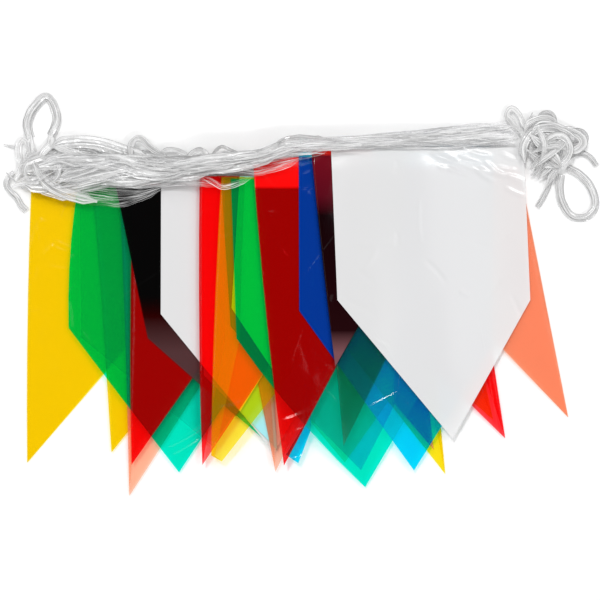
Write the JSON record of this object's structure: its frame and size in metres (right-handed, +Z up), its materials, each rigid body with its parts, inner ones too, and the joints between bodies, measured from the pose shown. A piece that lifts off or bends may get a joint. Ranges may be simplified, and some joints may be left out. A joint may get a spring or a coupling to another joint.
{
  "type": "folded string of bunting",
  "caption": "Folded string of see-through plastic film pennants in several colours, fanned out flat under a gathered hank of clear ribbon with a knot and loose loops.",
  "frame": {"origin": "on the surface that the bundle lies on, under the middle of its pennants, hank and knot", "axes": "+X to the right along the ribbon hank, +Y away from the pennants' tips to the hank, +Z up"},
  "size_m": [0.5992, 0.4051, 0.0522],
  "materials": {
    "yellow_film": "glossy, see-through yellow film",
    "teal_film": "glossy, see-through sea-green film",
    "red_film": "glossy, see-through red film",
    "salmon_film": "glossy, see-through salmon film",
    "blue_film": "glossy, see-through blue film",
    "white_film": "glossy, opaque white film",
    "milky_film": "glossy, milky film",
    "pale_film": "glossy, opaque pale blue film",
    "green_film": "glossy, see-through dark green film",
    "black_film": "glossy, black film",
    "clear_ribbon": "glossy, clear split-film ribbon"
  },
  "bodies": {
    "root": {"pennant_01_milky": "milky_film", "pennant_02_yellow": "yellow_film", "pennant_03_yellow": "yellow_film", "pennant_04_salmon": "salmon_film", "pennant_05_teal": "teal_film", "pennant_06_teal": "teal_film", "pennant_07_red": "red_film", "pennant_08_black": "black_film", "pennant_09_white": "white_film", "pennant_10_pale": "pale_film", "pennant_11_salmon": "salmon_film", "pennant_12_white": "white_film", "pennant_13_blue": "blue_film", "pennant_14_teal": "teal_film", "pennant_15_yellow": "yellow_film", "pennant_16_salmon": "salmon_film", "pennant_17_yellow": "yellow_film", "pennant_18_red": "red_film", "pennant_19_salmon": "salmon_film", "pennant_20_red": "red_film", "pennant_21_pale": "pale_film", "pennant_22_yellow": "yellow_film", "pennant_23_blue": "blue_film", "pennant_24_teal": "teal_film", "pennant_25_red": "red_film", "pennant_26_blue": "blue_film", "pennant_27_green": "green_film", "pennant_28_black": "black_film", "pennant_29_white": "white_film", "ribbon_hank": "clear_ribbon", "ribbon_knot": "clear_ribbon", "ribbon_loop_tall": "clear_ribbon", "ribbon_loop_low": "clear_ribbon", "ribbon_loop_c": "clear_ribbon", "ribbon_loop_d": "clear_ribbon", "ribbon_end_e": "clear_ribbon", "ribbon_loop_f": "clear_ribbon", "ribbon_end_g": "clear_ribbon"}
  },
  "joints": []
}
